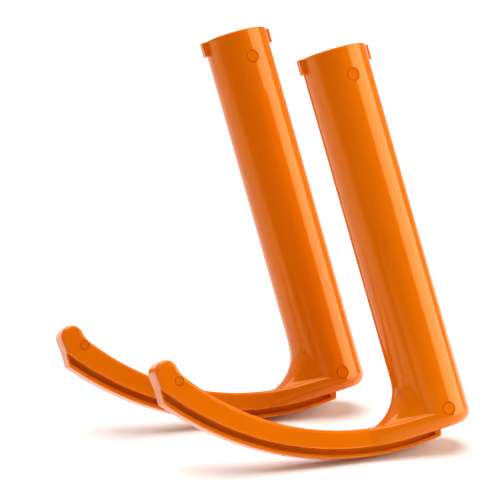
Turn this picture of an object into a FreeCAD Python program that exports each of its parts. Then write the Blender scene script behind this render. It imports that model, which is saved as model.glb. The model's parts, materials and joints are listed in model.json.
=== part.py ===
import FreeCAD, Part
import math
import os
import Sketcher

# Leaf grabber hands: a pair of identical one-piece mouldings.
#
# Each hand is a hollow handle tube, closed at the heel and open at the mouth,
# with a thin curved arm that sweeps forward from the heel and ends in a
# rounded fingertip. A T-shaped rail runs along the outside of the arm's curve.
#
# Hand's own frame: the tube's axis is Z with the flat of the heel at Z = 0,
# the arm points along -X and the hand is symmetric about Y = 0. The ejector
# pin marks are on the -Y side.
# Object frame: the pair stands on a floor at Z = 0, origin under the middle
# of the pair's box.

DRIVING = [
    # name, millimetres or degrees, meaning
    ("tube_radius", 17.0, "outside of the handle tube"),
    ("tube_length", 195.0, "flat of the heel to the mouth"),
    ("heel_round", 6.0, "rounding round the closed end"),
    ("bore_radius", 14.2, "inside of the handle tube"),
    ("bore_floor", 6.0, "thickness of the closed end"),
    ("bore_corner", 3.0, "rounding at the bottom of the bore"),
    ("mouth_round", 0.6, "rounding of the mouth's edges"),
    ("rocker_x", 18.8, "centre of the arm's underside curve, forward of the tube's axis"),
    ("rocker_radius", 150.0, "underside of the arm"),
    ("top_x", 20.6, "centre of the arm's top curve, forward of the tube's axis"),
    ("top_radius", 130.0, "top of the arm"),
    ("arm_thick", 9.2, "arm at its thinnest, underside to top"),
    ("arm_width", 14.0, "arm, side to side"),
    ("arm_reach", 136.2, "tube's axis to the arm's lower end corner"),
    ("arm_edge", 2.0, "rounding of the arm's top edges"),
    ("arm_lower_edge", 1.0, "rounding of the arm's lower edges"),
    ("tip_x", 131.2, "centre of the fingertip, forward of the axis"),
    ("tip_z", 63.8, "centre of the fingertip, above the heel"),
    ("tip_radius", 5.8, "rounding of the fingertip"),
    ("tip_sweep", 13.0, "hollow curve from the arm's top up to the fingertip"),
    ("flare_start", 40.0, "where the arm starts to widen towards the tube"),
    ("web_width", 4.6, "thin neck of the T-rail"),
    ("web_height", 2.8, "height of the neck"),
    ("bead_width", 9.2, "head of the T-rail"),
    ("bead_height", 1.8, "height of the head"),
    ("bead_edge", 0.7, "rounding of the head's outer edges"),
    ("heel_cap", 2.4, "length of the rail's solid end at the heel"),
    ("tip_cap", 1.6, "length of the rail's solid end at the tip"),
    ("rail_heel", 0.9, "rail's heel end, forward of the axis"),
    ("rail_tip", 136.4, "rail's tip end, forward of the axis"),
    ("rail_slant", 1.6, "how far the heel end slants over its height"),
    ("gusset_radius", 22.0, "hollow curve from the arm's top to the tube's front"),
    ("lug_width", 4.0, "mouth lug, round the tube"),
    ("lug_height", 7.8, "mouth lug, along the tube"),
    ("lug_proud", 2.6, "how far the lug stands out from the tube"),
    ("lug_edge", 0.6, "rounding of the lug's edges"),
    ("mark_radius", 3.4, "ejector pin marks on the tube"),
    ("mark_depth", 0.35, "depth of those marks at the tube's crest"),
    ("ring_width", 0.6, "witness groove round each mark"),
    ("ring_depth", 0.4, "depth of the groove below the mark"),
    ("mark_top", 180.0, "upper mark, above the heel"),
    ("mark_heel", 9.0, "lower mark, above the heel"),
    ("tip_mark_radius", 2.5, "ejector pin mark near the fingertip"),
    ("tip_mark_depth", 0.25, "depth of that mark"),
    ("tip_mark_x", 126.8, "that mark, forward of the axis"),
    ("tip_mark_z", 58.2, "that mark, above the heel"),
    ("seam", 0.4, "where the arm's solid meets the tube's, in front of the tube"),
    ("lean_forward", 8.7, "lean of the tube towards the arm, degrees"),
    ("lean_back", 21.3, "lean of the whole hand to the rear, degrees"),
    ("pair_x", 25.1, "rear hand, forward of the front hand"),
    ("pair_y", 71.7, "rear hand, behind the front hand"),
]

doc = FreeCAD.newDocument("leaf_grabber_hands")
sheet = doc.addObject("Spreadsheet::Sheet", "Sizes")
for row, (alias, value, meaning) in enumerate(DRIVING, start=1):
    sheet.set("A%d" % row, meaning)
    sheet.set("B%d" % row, str(value))
    sheet.setAlias("B%d" % row, alias)
doc.recompute()
SIZE = {alias: float(sheet.get(alias)) for alias, _, _ in DRIVING}


def bind(obj, **formulas):
    """Bind properties to cells; a formula names cells as {cell}."""
    cells = {alias: "Sizes." + alias for alias in SIZE}
    for prop, formula in formulas.items():
        obj.setExpression(prop.replace("__", "."), formula.format(**cells))


def add(kind, name, **formulas):
    obj = doc.addObject(kind, name)
    bind(obj, **formulas)
    return obj


def origin_plane(body, role):
    for feature in body.Origin.OriginFeatures:
        if feature.Role == role:
            return feature
    raise ValueError(role)


def new_sketch(body, name, role):
    sketch = body.newObject("Sketcher::SketchObject", name)
    sketch.AttachmentSupport = (origin_plane(body, role), [""])
    sketch.MapMode = "FlatFace"
    return sketch


def point(x, z):
    return FreeCAD.Vector(x, z, 0)


def polar(centre, radius, degrees):
    """Point on a circle; 0 degrees is straight down, positive is forward (-X)."""
    turn = math.radians(degrees)
    return point(centre.x - radius * math.sin(turn), centre.y - radius * math.cos(turn))


def angle_of(centre, at):
    return math.degrees(math.atan2(centre.x - at.x, centre.y - at.y))


def arc_between(centre, start, end):
    """Anticlockwise arc from start to end."""
    a_start = math.atan2(start.y - centre.y, start.x - centre.x)
    a_end = math.atan2(end.y - centre.y, end.x - centre.x)
    radius = start.distanceToPoint(centre)
    circle = Part.Circle(centre, FreeCAD.Vector(0, 0, 1), radius)
    return Part.ArcOfCircle(circle, a_start, a_end if a_end > a_start else a_end + 2 * math.pi)


def dimension(sketch, name, kind, *args, formula):
    """Driving dimension bound to the sheet, starting from the geometry as drawn."""
    if kind == "Radius":
        drawn = sketch.Geometry[args[0]].Radius
    else:
        span = sketch.getPoint(*args[2:]).sub(sketch.getPoint(*args[:2]))
        drawn = span.x if kind == "DistanceX" else span.y
    index = sketch.addConstraint(Sketcher.Constraint(kind, *args, drawn))
    sketch.renameConstraint(index, name)
    bind(sketch, **{"Constraints__" + name: formula})


def flare_touch():
    """Where the flare's straight side touches the tube's circle: distances forward and sideways."""
    to_start = math.hypot(SIZE["flare_start"], SIZE["arm_width"] / 2)
    turn = math.atan2(SIZE["arm_width"] / 2, SIZE["flare_start"])
    turn += math.acos(SIZE["tube_radius"] / to_start)
    return SIZE["tube_radius"] * math.cos(turn), SIZE["tube_radius"] * math.sin(turn)


def forward_arm(body):
    """Side outline of the arm, padded as wide as the tube, before the sides are trimmed."""
    rocker = point(-SIZE["rocker_x"], SIZE["rocker_radius"])
    under = SIZE["rocker_radius"]
    top = point(-SIZE["top_x"], SIZE["arm_thick"] + SIZE["top_radius"])
    over = SIZE["top_radius"]
    tip = point(-SIZE["tip_x"], SIZE["tip_z"])
    tip_r = SIZE["tip_radius"]
    sweep_r = SIZE["tip_sweep"]

    corner_turn = math.degrees(math.asin((SIZE["arm_reach"] - SIZE["rocker_x"]) / under))
    corner = polar(rocker, under, corner_turn)
    # the end face runs from the corner, tangent to the fingertip
    reach = corner.distanceToPoint(tip)
    aim = math.atan2(tip.y - corner.y, tip.x - corner.x) + math.asin(tip_r / reach)
    run = math.sqrt(reach ** 2 - tip_r ** 2)
    end_top = point(corner.x + run * math.cos(aim), corner.y + run * math.sin(aim))
    # the sweep touches the arm's top from inside and the fingertip from outside
    to_tip = top.distanceToPoint(tip)
    to_sweep = over - sweep_r
    spread = (to_tip ** 2 + to_sweep ** 2 - (sweep_r + tip_r) ** 2) / (2 * to_tip * to_sweep)
    sweep_turn = angle_of(top, tip) - math.degrees(math.acos(spread))
    sweep = polar(top, to_sweep, sweep_turn)
    sweep_low = polar(top, over, sweep_turn)
    to_contact = (sweep - tip).multiply(tip_r / (sweep_r + tip_r))
    sweep_high = tip.add(to_contact)

    foot = point(rocker.x, 0)
    shelf = point(top.x, SIZE["arm_thick"])
    inside_tube = flare_touch()[0]
    heel_low = point(-inside_tube, 0)
    heel_high = point(-inside_tube, SIZE["arm_thick"])

    sketch = new_sketch(body, body.Name + "_side", "XZ_Plane")
    geometry = [
        Part.LineSegment(heel_low, foot),
        arc_between(rocker, corner, foot),
        Part.LineSegment(corner, end_top),
        arc_between(tip, sweep_high, end_top),
        arc_between(sweep, sweep_high, sweep_low),
        arc_between(top, sweep_low, shelf),
        Part.LineSegment(shelf, heel_high),
        Part.LineSegment(heel_high, heel_low),
    ]
    sketch.addGeometry(geometry, False)
    base, under_arc, end, tip_arc, sweep_arc, over_arc, shelf_line, back = range(8)
    for pair in [
        (base, 2, under_arc, 2), (under_arc, 1, end, 1), (end, 2, tip_arc, 2),
        (tip_arc, 1, sweep_arc, 1), (sweep_arc, 2, over_arc, 1),
        (over_arc, 2, shelf_line, 1), (shelf_line, 2, back, 1), (back, 2, base, 1),
    ]:
        sketch.addConstraint(Sketcher.Constraint("Coincident", *pair))
    sketch.addConstraint(Sketcher.Constraint("Horizontal", base))
    sketch.addConstraint(Sketcher.Constraint("Horizontal", shelf_line))
    sketch.addConstraint(Sketcher.Constraint("Vertical", back))
    sketch.addConstraint(Sketcher.Constraint("DistanceX", base, 1, -1, 1, inside_tube))
    sketch.addConstraint(Sketcher.Constraint("PointOnObject", base, 1, -1))
    dimension(sketch, "rocker_x", "DistanceX", under_arc, 3, -1, 1, formula="{rocker_x}")
    dimension(sketch, "foot_x", "DistanceX", base, 2, -1, 1, formula="{rocker_x}")
    dimension(sketch, "under", "Radius", under_arc, formula="{rocker_radius}")
    dimension(sketch, "over", "Radius", over_arc, formula="{top_radius}")
    dimension(sketch, "over_x", "DistanceX", over_arc, 3, -1, 1, formula="{top_x}")
    dimension(sketch, "over_z", "DistanceY", -1, 1, over_arc, 3, formula="{arm_thick} + {top_radius}")
    dimension(sketch, "reach", "DistanceX", end, 1, -1, 1, formula="{arm_reach}")
    dimension(sketch, "tip_x", "DistanceX", tip_arc, 3, -1, 1, formula="{tip_x}")
    dimension(sketch, "tip_z", "DistanceY", -1, 1, tip_arc, 3, formula="{tip_z}")
    dimension(sketch, "tip_round", "Radius", tip_arc, formula="{tip_radius}")
    dimension(sketch, "sweep", "Radius", sweep_arc, formula="{tip_sweep}")
    pad = body.newObject("PartDesign::Pad", body.Name + "_pad")
    pad.Profile = sketch
    pad.Midplane = True
    bind(pad, Length="2 * {tube_radius}")
    return pad


def trim_sides(body, pad):
    """Cut both sides of the pad back to the arm's width, flaring tangent into the tube."""
    radius = SIZE["tube_radius"]
    start_x = SIZE["flare_start"]
    side_y = SIZE["arm_width"] / 2
    far_x = SIZE["arm_reach"] + 20
    far_y = radius + 15
    touch_x, touch_y = flare_touch()
    sketch = new_sketch(body, body.Name + "_plan", "XY_Plane")
    for side in (1, -1):
        corners = [
            (-start_x, side * side_y), (-touch_x, side * touch_y), (-touch_x, side * far_y),
            (-far_x, side * far_y), (-far_x, side * side_y),
        ]
        first = sketch.GeometryCount
        count = len(corners)
        for i in range(count):
            sketch.addGeometry(Part.LineSegment(point(*corners[i]), point(*corners[(i + 1) % count])))
        for i in range(count):
            following = first + (i + 1) % count
            sketch.addConstraint(Sketcher.Constraint("Coincident", first + i, 2, following, 1))
        sketch.addConstraint(Sketcher.Constraint("Vertical", first + 1))
        sketch.addConstraint(Sketcher.Constraint("Horizontal", first + 2))
        sketch.addConstraint(Sketcher.Constraint("Vertical", first + 3))
        sketch.addConstraint(Sketcher.Constraint("Horizontal", first + 4))
        tag = "near" if side < 0 else "far"
        low, high = ((-1, 1), (first, 1)) if side > 0 else ((first, 1), (-1, 1))
        dimension(sketch, tag + "_side", "DistanceY", *low, *high, formula="{arm_width} / 2")
        dimension(sketch, tag + "_start", "DistanceX", first, 1, -1, 1, formula="{flare_start}")
    pocket = body.newObject("PartDesign::Pocket", body.Name + "_trim")
    pocket.Profile = sketch
    pocket.Type = "ThroughAll"
    pocket.Reversed = True
    doc.recompute()
    if pocket.Shape.Volume > pad.Shape.Volume * 0.8:
        raise RuntimeError("the arm's sides were not trimmed")
    return pocket


def arm_top_edges(shape):
    """Edges along the arm's two sides on its top and round the fingertip, not on its underside."""
    rocker = FreeCAD.Vector(-SIZE["rocker_x"], 0, SIZE["rocker_radius"])
    half = SIZE["arm_width"] / 2
    names = []
    for number, edge in enumerate(shape.Edges, start=1):
        middle = edge.valueAt((edge.FirstParameter + edge.LastParameter) / 2)
        ends = [vertex.Point for vertex in edge.Vertexes]
        if min(abs(p.y) for p in ends + [middle]) < half - 0.01:
            continue
        across_joint = abs(ends[0].x - ends[1].x) < 0.01
        if across_joint or max(p.x for p in ends) > -SIZE["top_x"] + 0.01:
            continue
        out = math.hypot(middle.x - rocker.x, middle.z - rocker.z)
        if out < SIZE["rocker_radius"] - 0.5:
            names.append("Edge%d" % number)
    return names


def arm_lower_edges(shape):
    """Edges along the arm's two sides on its underside, and across its lower end corner."""
    half = SIZE["arm_width"] / 2
    names = []
    for number, edge in enumerate(shape.Edges, start=1):
        ends = [vertex.Point for vertex in edge.Vertexes]
        if len(ends) < 2 or max(p.x for p in ends) > -SIZE["flare_start"] + 0.01:
            continue
        off = [abs(math.hypot(p.x + SIZE["rocker_x"], p.z - SIZE["rocker_radius"]) - SIZE["rocker_radius"])
               for p in ends]
        if max(off) < 0.01 and min(abs(p.y) for p in ends) > half - 2.1:
            names.append("Edge%d" % number)
    return names


def arm_body(prefix):
    body = doc.addObject("PartDesign::Body", prefix + "_arm_body")
    pad = forward_arm(body)
    trim = trim_sides(body, pad)
    edges = arm_top_edges(trim.Shape)
    rounded = body.newObject("PartDesign::Fillet", body.Name + "_edges")
    rounded.Base = (trim, edges)
    bind(rounded, Radius="{arm_edge}")
    doc.recompute()
    lower = body.newObject("PartDesign::Fillet", body.Name + "_lower_edges")
    lower.Base = (rounded, arm_lower_edges(rounded.Shape))
    bind(lower, Radius="{arm_lower_edge}")
    body.Tip = lower
    return body


def value_of(formula):
    """Value of a sum of cells, for drawing a sketch before its dimensions drive it."""
    total = 0.0
    for term in formula.replace("- ", "+ -").split("+"):
        name = term.strip().strip("-{}")
        total += -SIZE[name] if term.strip().startswith("-") else SIZE[name]
    return total


def rail_band(prefix, name, inner, outer, width, heel_end="{rail_heel}", tip_end="{rail_tip}"):
    """Stretch of the T-rail between two radii about the centre of the underside's curve."""
    body = doc.addObject("PartDesign::Body", prefix + "_" + name)
    centre = point(-SIZE["rocker_x"], SIZE["rocker_radius"])
    slant = SIZE["rail_slant"] / (SIZE["web_height"] + SIZE["bead_height"])

    def on_band(formula, x):
        radius = value_of(formula)
        return polar(centre, radius, math.degrees(math.asin((x - SIZE["rocker_x"]) / radius)))

    def heel_x(formula):
        return value_of(heel_end) + slant * (value_of(formula) - SIZE["rocker_radius"])

    heel_in, heel_out = on_band(inner, heel_x(inner)), on_band(outer, heel_x(outer))
    tip_in, tip_out = on_band(inner, value_of(tip_end)), on_band(outer, value_of(tip_end))
    sketch = new_sketch(body, body.Name + "_side", "XZ_Plane")
    sketch.addGeometry([
        arc_between(centre, tip_out, heel_out),
        Part.LineSegment(heel_out, heel_in),
        arc_between(centre, tip_in, heel_in),
        Part.LineSegment(tip_in, tip_out),
    ], False)
    for pair in [(0, 2, 1, 1), (1, 2, 2, 2), (2, 1, 3, 1), (3, 2, 0, 1), (0, 3, 2, 3)]:
        sketch.addConstraint(Sketcher.Constraint("Coincident", *pair))
    dimension(sketch, "centre_x", "DistanceX", 0, 3, -1, 1, formula="{rocker_x}")
    dimension(sketch, "centre_z", "DistanceY", -1, 1, 0, 3, formula="{rocker_radius}")
    dimension(sketch, "outer", "Radius", 0, formula=outer)
    dimension(sketch, "inner", "Radius", 2, formula=inner)
    dimension(sketch, "tip_in", "DistanceX", 3, 1, -1, 1, formula=tip_end)
    dimension(sketch, "tip_out", "DistanceX", 3, 2, -1, 1, formula=tip_end)
    pad = body.newObject("PartDesign::Pad", body.Name + "_pad")
    pad.Profile = sketch
    pad.Midplane = True
    bind(pad, Length=width)
    body.Tip = pad
    return body


def round_outside(body):
    """Round a rail band's edges on the side away from the arm."""
    doc.recompute()
    pad = body.Tip
    centre = point(-SIZE["rocker_x"], SIZE["rocker_radius"])
    distance = [
        (number, [math.hypot(v.X - centre.x, v.Z - centre.y) for v in edge.Vertexes])
        for number, edge in enumerate(pad.Shape.Edges, start=1)
    ]
    outside = max(max(ends) for number, ends in distance)
    rounded = body.newObject("PartDesign::Fillet", body.Name + "_outside")
    rounded.Base = (pad, ["Edge%d" % number for number, ends in distance if min(ends) > outside - 0.01])
    bind(rounded, Radius="{bead_edge}")
    body.Tip = rounded
    return body


def rail(prefix):
    """Neck, head and the solid blocks that close the groove at both ends."""
    under = "{rocker_radius}"
    neck = "{rocker_radius} + {web_height}"
    head = "{rocker_radius} + {web_height} + {bead_height}"
    into_head = "{rocker_radius} + {web_height} + {bead_edge}"
    return [
        rail_band(prefix, "rail_web", under, neck, "{web_width}"),
        round_outside(rail_band(prefix, "rail_bead", neck, head, "{bead_width}")),
        rail_band(prefix, "rail_heel_cap", under, into_head, "{bead_width}",
                  tip_end="{rail_heel} + {heel_cap} + {rail_slant}"),
        rail_band(prefix, "rail_tip_cap", under, into_head, "{bead_width}",
                  heel_end="{rail_tip} - {tip_cap}"),
    ]


def gusset_outline(height):
    """Level outline of the gusset: the tube's circle with a nose that draws in as it rises."""
    radius = SIZE["gusset_radius"]
    share = height / radius
    stand_off = radius - math.sqrt(radius ** 2 - (radius - height) ** 2)
    front = SIZE["tube_radius"] + stand_off
    buried = SIZE["tube_radius"] - 0.4
    narrow = SIZE["arm_width"] / 2 - 0.7
    nose = narrow + (buried - narrow) * share ** 0.8
    nose_x = front - nose
    lean = math.asin((buried - nose) / nose_x)
    z = SIZE["arm_thick"] + height

    def around(centre_x, size, angle):
        return FreeCAD.Vector(-(centre_x + size * math.cos(angle)), size * math.sin(angle), z)

    side = math.pi / 2 - lean
    tube_left, tube_right = around(0, buried, side), around(0, buried, -side)
    nose_left, nose_right = around(nose_x, nose, side), around(nose_x, nose, -side)
    edges = [
        Part.Arc(tube_left, around(0, buried, math.pi), tube_right).toShape(),
        Part.LineSegment(tube_right, nose_right).toShape(),
        Part.Arc(nose_right, around(nose_x, nose, 0), nose_left).toShape(),
        Part.LineSegment(nose_left, tube_left).toShape(),
    ]
    return Part.Wire(edges)


def gusset(prefix):
    """Hollow-sided web between the arm's top and the front of the tube."""
    heights = [SIZE["gusset_radius"] * share for share in (0.0, 0.03, 0.08, 0.17, 0.3, 0.48, 0.7, 1.0)]
    upper = Part.makeLoft([gusset_outline(height) for height in heights], True, False)
    foot = gusset_outline(0.0)
    foot_face = Part.Face(foot)
    lower = foot_face.extrude(FreeCAD.Vector(0, 0, -SIZE["arm_thick"] / 2))
    feature = doc.addObject("Part::Feature", prefix + "_gusset")
    feature.Shape = upper.fuse(lower).removeSplitter()
    return feature


def heel_outline(height):
    """Level outline of the heel: the tube's rounded end with straight sides to the arm."""
    round_off = SIZE["heel_round"]
    radius = SIZE["tube_radius"] - round_off + math.sqrt(round_off ** 2 - (round_off - height) ** 2)
    start_x, start_y = SIZE["flare_start"], SIZE["arm_width"] / 2
    turn = math.atan2(start_y, start_x) + math.acos(radius / math.hypot(start_x, start_y))
    touch_x, touch_y = radius * math.cos(turn), radius * math.sin(turn)

    def level(x, y):
        return FreeCAD.Vector(-x, y, height)

    edges = [
        Part.Arc(level(touch_x, touch_y), level(-radius, 0), level(touch_x, -touch_y)).toShape(),
        Part.LineSegment(level(touch_x, -touch_y), level(start_x, -start_y)).toShape(),
        Part.LineSegment(level(start_x, -start_y), level(start_x, start_y)).toShape(),
        Part.LineSegment(level(start_x, start_y), level(touch_x, touch_y)).toShape(),
    ]
    return Part.Wire(edges)


def heel(prefix):
    """Closed end of the tube; its rounding dies away along the flare of the arm."""
    turns = [math.radians(15 * step) for step in range(7)]
    block = Part.makeLoft([heel_outline(SIZE["heel_round"] * (1 - math.cos(turn))) for turn in turns],
                          True, False)
    width = 3 * SIZE["tube_radius"]
    corner = FreeCAD.Vector(-SIZE["flare_start"] - 1, -width / 2, -1)
    under = Part.makeBox(SIZE["flare_start"] + 1 - SIZE["rocker_x"], width, 1 + SIZE["heel_round"], corner)
    centre = FreeCAD.Vector(-SIZE["rocker_x"], -width / 2, SIZE["rocker_radius"])
    rocker = Part.makeCylinder(SIZE["rocker_radius"], width, centre, FreeCAD.Vector(0, 1, 0))
    feature = doc.addObject("Part::Feature", prefix + "_heel")
    feature.Shape = block.cut(under.cut(rocker))
    return feature


def tube(prefix):
    """Straight length of the tube above the heel's rounding."""
    blank = add("Part::Cylinder", prefix + "_barrel_blank", Radius="{tube_radius}",
                Height="{tube_length} - {heel_round}", Placement__Base__z="{heel_round}")
    doc.recompute()
    rounded = doc.addObject("Part::Fillet", prefix + "_barrel")
    rounded.Base = blank
    rounded.Edges = [
        (number, SIZE["mouth_round"], SIZE["mouth_round"])
        for number, edge in enumerate(blank.Shape.Edges, start=1)
        if len(edge.Vertexes) == 1 and edge.Vertexes[0].Z > SIZE["tube_length"] - 0.01
    ]
    return rounded


def arm_above_heel(prefix, arm):
    """The arm without the low part under the flare, which the heel replaces."""
    tool = add("Part::Box", prefix + "_heel_room", Length="{flare_start} + {tube_radius}",
               Width="3 * {tube_radius}", Height="{heel_round} + 1", Placement__Base__x="-{flare_start}",
               Placement__Base__y="-1.5 * {tube_radius}", Placement__Base__z="-1")
    rest = doc.addObject("Part::Cut", prefix + "_arm_above_heel")
    rest.Base = arm
    rest.Tool = tool
    return rest


def bore_tool(prefix):
    blank = add("Part::Cylinder", prefix + "_bore_blank", Radius="{bore_radius}",
                Height="{tube_length} - {bore_floor} + 1", Placement__Base__z="{bore_floor}")
    doc.recompute()
    tool = doc.addObject("Part::Fillet", prefix + "_bore")
    tool.Base = blank
    tool.Edges = [
        (number, SIZE["bore_corner"], SIZE["bore_corner"])
        for number, edge in enumerate(blank.Shape.Edges, start=1)
        if len(edge.Vertexes) == 1 and abs(edge.Vertexes[0].Z - SIZE["bore_floor"]) < 0.01
    ]
    return tool


def lug(prefix, name, side):
    """Small block at the mouth; side is -1 over the arm and +1 at the back."""
    blank = add("Part::Box", prefix + "_" + name + "_blank", Width="{lug_width}", Height="{lug_height}",
                Length="{lug_proud} + 2", Placement__Base__y="-{lug_width} / 2",
                Placement__Base__z="{tube_length} - {lug_height}")
    inner = "{tube_radius} - 2" if side > 0 else "-{tube_radius} - {lug_proud}"
    bind(blank, Placement__Base__x=inner)
    doc.recompute()
    outer_x = side * (SIZE["tube_radius"] + SIZE["lug_proud"])
    rounded = doc.addObject("Part::Fillet", prefix + "_" + name)
    rounded.Base = blank
    rounded.Edges = [
        (number, SIZE["lug_edge"], SIZE["lug_edge"])
        for number, edge in enumerate(blank.Shape.Edges, start=1)
        if any(abs(vertex.X - outer_x) < 0.01 for vertex in edge.Vertexes)
    ]
    return rounded


def sideways_disc(name, radius, depth, face_y, x, z):
    """Disc that reaches into the hand's near side to a depth below face_y."""
    disc = add("Part::Cylinder", name, Radius=radius, Height=depth + " + 5",
               Placement__Base__x=x, Placement__Base__z=z, Placement__Base__y="-(" + face_y + ") - 5")
    disc.Placement.Rotation = FreeCAD.Rotation(FreeCAD.Vector(1, 0, 0), -90)
    return disc


def mark_tool(prefix, name, radius, depth, face_y, x, z):
    """Ejector pin mark: a shallow disc with a deeper witness groove round its rim."""
    name = prefix + "_" + name
    at = (face_y, x, z)
    groove = doc.addObject("Part::Cut", name + "_groove")
    groove.Base = sideways_disc(name + "_rim", radius, depth + " + {ring_depth}", *at)
    groove.Tool = sideways_disc(name + "_core", radius + " - {ring_width}", depth + " + 2", *at)
    tool = doc.addObject("Part::MultiFuse", name)
    tool.Shapes = [groove, sideways_disc(name + "_face", radius, depth, *at)]
    return tool


def hand(label, x, y):
    """One hand in its own frame, stood on the floor at x, y."""
    arm = arm_body(label)
    solid = doc.addObject("Part::MultiFuse", label + "_blank")
    solid.Shapes = [
        tube(label), heel(label), arm_above_heel(label, arm), gusset(label),
        lug(label, "front_lug", -1), lug(label, "back_lug", 1),
    ] + rail(label)
    solid.Refine = True
    tools = doc.addObject("Part::MultiFuse", label + "_hollows")
    tools.Shapes = [
        bore_tool(label),
        mark_tool(label, "top_mark", "{mark_radius}", "{mark_depth}", "{tube_radius}", "0", "{mark_top}"),
        mark_tool(label, "heel_mark", "{mark_radius}", "{mark_depth}", "{tube_radius}", "0", "{mark_heel}"),
        mark_tool(label, "tip_mark", "{tip_mark_radius}", "{tip_mark_depth}", "{arm_width} / 2",
                  "-{tip_mark_x}", "{tip_mark_z}"),
    ]
    finished = doc.addObject("Part::Cut", label + "_moulding")
    finished.Base = solid
    finished.Tool = tools
    return split(finished, label, x, y)


def split(moulding, label, x, y):
    """The moulding as two touching solids, tube and arm, each simple to enclose."""
    room = add("Part::Box", label + "_arm_room", Length="{arm_reach}", Width="3 * {tube_radius}",
               Height="2 * {tip_z}", Placement__Base__x="-{arm_reach} - {tube_radius} - {seam}",
               Placement__Base__y="-1.5 * {tube_radius}", Placement__Base__z="-{tip_z} / 2")
    parts = []
    for kind, ending in (("Part::Cut", "tube"), ("Part::Common", "arm")):
        part = doc.addObject(kind, label + "_" + ending)
        part.Label = label + "_" + ending
        part.Base = moulding
        part.Tool = room
        stand(part, x, y)
        parts.append(part)
    doc.recompute()
    return parts


def stand(obj, x, y):
    """Lean the hand as it stands."""
    forward = FreeCAD.Rotation(FreeCAD.Vector(0, 1, 0), -SIZE["lean_forward"])
    back = FreeCAD.Rotation(FreeCAD.Vector(1, 0, 0), -SIZE["lean_back"])
    obj.Placement = FreeCAD.Placement(FreeCAD.Vector(x, y, 0), back.multiply(forward))


def centre_pair(solids):
    """Stand the pair on the floor with the origin under the middle of its box."""
    box = solids[0].Shape.optimalBoundingBox(True)
    for other in solids[1:]:
        box.add(other.Shape.optimalBoundingBox(True))
    shift = FreeCAD.Vector(box.Center.x, box.Center.y, box.ZMin)
    for solid in solids:
        solid.Placement.Base = solid.Placement.Base - shift


def check(objects):
    for obj in objects:
        if "Invalid" in obj.State or "Error" in obj.State:
            raise RuntimeError("%s is %s" % (obj.Name, obj.State))


parts = hand("front", 0, 0) + hand("rear", -SIZE["pair_x"], SIZE["pair_y"])
centre_pair(parts)
doc.recompute()
check(doc.Objects)

# no solid can reach further than one whole hand laid out in a line
hand_reach = SIZE["tube_length"] + SIZE["arm_reach"] + 2 * SIZE["tube_radius"]
os.makedirs("parts", exist_ok=True)
for part in parts:
    shape = part.Shape
    if shape.isNull() or not shape.isValid() or len(shape.Solids) != 1:
        raise RuntimeError(part.Label + " is not one valid solid")
    if shape.BoundBox.DiagonalLength > hand_reach:
        raise RuntimeError(part.Label + " is out of proportion")
    shape.exportStep(os.path.join("parts", part.Label + ".step"))
    heel_at = part.Placement.Base
    print(part.Label, "volume %.0f" % shape.Volume, "heel at %.3f %.3f %.3f" % tuple(heel_at))
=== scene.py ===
"""Leaf grabber hands: two glossy orange mouldings standing on a white studio floor."""
import json
import math

import bpy
from mathutils import Matrix, Vector


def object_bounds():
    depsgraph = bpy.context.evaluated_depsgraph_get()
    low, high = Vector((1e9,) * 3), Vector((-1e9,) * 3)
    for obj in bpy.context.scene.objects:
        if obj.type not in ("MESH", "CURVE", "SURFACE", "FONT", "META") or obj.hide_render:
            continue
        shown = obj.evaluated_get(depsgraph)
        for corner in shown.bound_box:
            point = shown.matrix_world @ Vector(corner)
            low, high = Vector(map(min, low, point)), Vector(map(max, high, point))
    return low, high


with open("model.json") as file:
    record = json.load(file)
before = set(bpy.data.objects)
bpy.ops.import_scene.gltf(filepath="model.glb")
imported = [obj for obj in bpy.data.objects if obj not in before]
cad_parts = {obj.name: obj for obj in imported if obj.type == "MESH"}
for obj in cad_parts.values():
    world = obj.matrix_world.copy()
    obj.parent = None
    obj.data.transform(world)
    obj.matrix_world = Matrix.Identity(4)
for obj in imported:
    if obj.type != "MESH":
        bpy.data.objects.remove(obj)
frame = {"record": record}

NODES = ("front_tube", "front_arm", "rear_tube", "rear_arm")
MOUTH_OUT = 0.095            # front socket's stated point to the tube's mouth
CAMERA_FROM_MOUTH = Vector((-0.402, -0.9128, 0.1537))
CAMERA_AZIMUTH = 21.4        # towards +X from straight along +Y
CAMERA_DROP = 14.4           # below the horizon
LENS_MM = 144.0
SENSOR_MM = 36.0

PLASTIC = (0.72, 0.146, 0.0005, 1.0)
PLASTIC_DEEP = (0.66, 0.116, 0.0005, 1.0)

WORLD_BRIGHT_SIDE = (-0.30, 0.93, 0.20)
WORLD_COLOUR = (1.0, 0.96, 0.93, 1.0)
WORLD_BRIGHT = 0.58
WORLD_DARK = 0.04

SUN_STRENGTH = 3.5
SUN_SPREAD = 60.0            # degrees; wide, so that shadows are soft
SUN_LEAN = (-8.0, -6.0)      # about X and Y, degrees
FLOOR_HALF = 6.0
FLOOR_GREY = 0.93


def add_node(tree, kind, **inputs):
    """Shader node with input values set by name; an underscore stands for a space."""
    node = tree.nodes.new(kind)
    for name, value in inputs.items():
        node.inputs[name.replace("_", " ")].default_value = value
    return node


def new_material(name):
    """Material with its node tree and its main shader."""
    material = bpy.data.materials.new(name)
    material.use_nodes = True
    return material, material.node_tree, material.node_tree.nodes["Principled BSDF"]


def ramp(tree, source, low, high, low_value, high_value):
    """Map source from low..high to low_value..high_value."""
    node = tree.nodes.new("ShaderNodeMapRange")
    node.inputs["From Min"].default_value = low
    node.inputs["From Max"].default_value = high
    node.inputs["To Min"].default_value = low_value
    node.inputs["To Max"].default_value = high_value
    tree.links.new(source, node.inputs["Value"])
    return node.outputs["Result"]


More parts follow.
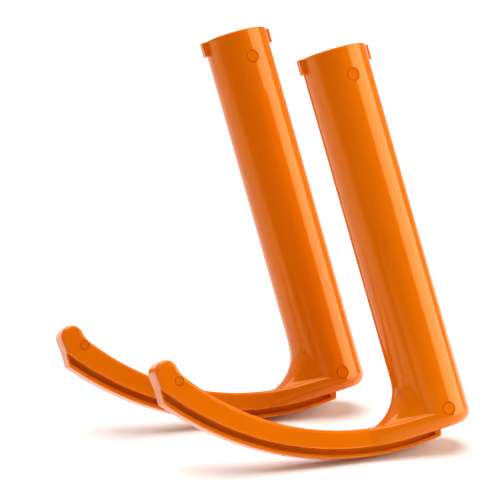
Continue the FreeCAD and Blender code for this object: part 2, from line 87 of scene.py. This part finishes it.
def plastic_material():
    """Glossy moulded plastic, a little translucent, with faint flow marks and fine scuffs."""
    material, tree, shader = new_material("orange_moulding")
    link = tree.links.new
    place = tree.nodes.new("ShaderNodeTexCoord")

    flow = add_node(tree, "ShaderNodeTexNoise", Scale=22.0, Detail=3.0, Roughness=0.5)
    stretch = tree.nodes.new("ShaderNodeMapping")
    stretch.inputs["Scale"].default_value = (1.0, 1.0, 0.22)
    link(place.outputs["Object"], stretch.inputs["Vector"])
    link(stretch.outputs["Vector"], flow.inputs["Vector"])
    tint = tree.nodes.new("ShaderNodeMix")
    tint.data_type = "RGBA"
    tint.inputs["A"].default_value = PLASTIC
    tint.inputs["B"].default_value = PLASTIC_DEEP
    link(ramp(tree, flow.outputs["Fac"], 0.3, 0.75, 0.0, 0.55), tint.inputs["Factor"])
    link(tint.outputs["Result"], shader.inputs["Base Color"])

    grain = add_node(tree, "ShaderNodeTexNoise", Scale=900.0, Detail=4.0, Roughness=0.6)
    link(place.outputs["Object"], grain.inputs["Vector"])
    scuff = add_node(tree, "ShaderNodeTexNoise", Scale=60.0, Detail=8.0, Roughness=0.75)
    link(place.outputs["Object"], scuff.inputs["Vector"])
    link(ramp(tree, scuff.outputs["Fac"], 0.35, 0.75, 0.10, 0.19), shader.inputs["Roughness"])

    height = tree.nodes.new("ShaderNodeMath")
    height.operation = "MULTIPLY_ADD"
    height.inputs[1].default_value = 0.35
    link(grain.outputs["Fac"], height.inputs[0])
    link(flow.outputs["Fac"], height.inputs[2])
    bump = add_node(tree, "ShaderNodeBump", Strength=0.10, Distance=0.0002)
    link(height.outputs["Value"], bump.inputs["Height"])
    link(bump.outputs["Normal"], shader.inputs["Normal"])

    shader.inputs["IOR"].default_value = 1.5
    shader.inputs["Specular IOR Level"].default_value = 0.5
    shader.inputs["Specular Tint"].default_value = (1.0, 0.76, 0.28, 1.0)
    shader.inputs["Subsurface Weight"].default_value = 0.25
    shader.inputs["Subsurface Radius"].default_value = (1.0, 0.30, 0.05)
    shader.inputs["Subsurface Scale"].default_value = 0.004
    return material


def floor_material():
    material, tree, shader = new_material("white_floor")
    shader.inputs["Base Color"].default_value = (FLOOR_GREY, FLOOR_GREY, FLOOR_GREY, 1.0)
    shader.inputs["Roughness"].default_value = 0.7
    shader.inputs["Specular IOR Level"].default_value = 0.2
    return material


def make_floor():
    half = FLOOR_HALF
    corners = [(-half, -half, 0), (half, -half, 0), (half, half, 0), (-half, half, 0)]
    mesh = bpy.data.meshes.new("floor")
    mesh.from_pydata(corners, [], [(0, 1, 2, 3)])
    floor = bpy.data.objects.new("floor", mesh)
    bpy.context.scene.collection.objects.link(floor)
    mesh.materials.append(floor_material())


def aim(obj, eye, target):
    """Place an object at eye, level, with its -Z axis towards target."""
    forward = (target - eye).normalized()
    right = forward.cross(Vector((0, 0, 1))).normalized()
    up = right.cross(forward)
    rows = Matrix((right, up, -forward)).transposed()
    obj.matrix_world = Matrix.Translation(eye) @ rows.to_4x4()


def make_camera(mouth):
    """Camera placed from the mouth of the front tube."""
    turn = math.radians(CAMERA_AZIMUTH)
    drop = math.radians(CAMERA_DROP)
    forward = Vector((math.sin(turn) * math.cos(drop), math.cos(turn) * math.cos(drop), -math.sin(drop)))
    data = bpy.data.cameras.new("camera")
    data.lens = LENS_MM
    data.sensor_width = SENSOR_MM
    data.clip_end = 50.0
    camera = bpy.data.objects.new("camera", data)
    bpy.context.scene.collection.objects.link(camera)
    eye = mouth + CAMERA_FROM_MOUTH
    aim(camera, eye, eye + forward)
    bpy.context.scene.camera = camera


def softbox(name, centre, offset, size, power, colour):
    """Rectangular light at an offset from centre, facing it."""
    data = bpy.data.lights.new(name, "AREA")
    data.color = colour
    data.shape = "RECTANGLE"
    data.size, data.size_y = size
    data.energy = power
    light = bpy.data.objects.new(name, data)
    bpy.context.scene.collection.objects.link(light)
    aim(light, centre + Vector(offset), centre)


def make_world():
    """Near-white behind and to the left of the object, dark on the camera's side."""
    world = bpy.data.worlds.new("studio")
    world.use_nodes = True
    tree = world.node_tree
    place = tree.nodes.new("ShaderNodeTexCoord")
    facing = tree.nodes.new("ShaderNodeVectorMath")
    facing.operation = "DOT_PRODUCT"
    facing.inputs[1].default_value = WORLD_BRIGHT_SIDE
    tree.links.new(place.outputs["Generated"], facing.inputs[0])
    background = tree.nodes["Background"]
    background.inputs["Color"].default_value = WORLD_COLOUR
    strength = ramp(tree, facing.outputs["Value"], -0.1, 0.9, WORLD_DARK, WORLD_BRIGHT)
    tree.links.new(strength, background.inputs["Strength"])
    bpy.context.scene.world = world


def overhead_sun():
    data = bpy.data.lights.new("overhead", "SUN")
    data.energy = SUN_STRENGTH
    data.angle = math.radians(SUN_SPREAD)
    light = bpy.data.objects.new("overhead", data)
    bpy.context.scene.collection.objects.link(light)
    light.rotation_euler = (math.radians(SUN_LEAN[0]), math.radians(SUN_LEAN[1]), 0)


def make_lights(centre):
    make_world()
    overhead_sun()
    softbox("right_box", centre, (1.20, -0.62, 0.36), (1.25, 1.3), 24.0, (0.93, 1.0, 0.88))
    softbox("low_front_box", centre, (-0.55, -1.5, 0.10), (1.6, 0.35), 1.6, (1.0, 0.95, 0.80))


def main():
    cad_box = [list(corner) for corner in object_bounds()]
    mounts = {mount["name"]: mount for mount in frame["record"]["mounts"]}
    socket = mounts["front_socket"]
    mouth = Vector(socket["pos_m"]) + MOUTH_OUT * Vector(socket["axis"])
    low, high = (Vector(corner) for corner in cad_box)

    material = plastic_material()
    for name in NODES:
        for slot in bpy.data.objects[name].material_slots:
            slot.material = material
    make_floor()
    make_camera(mouth)
    make_lights((low + high) / 2)
    bpy.context.scene.view_settings.view_transform = "Standard"


main()
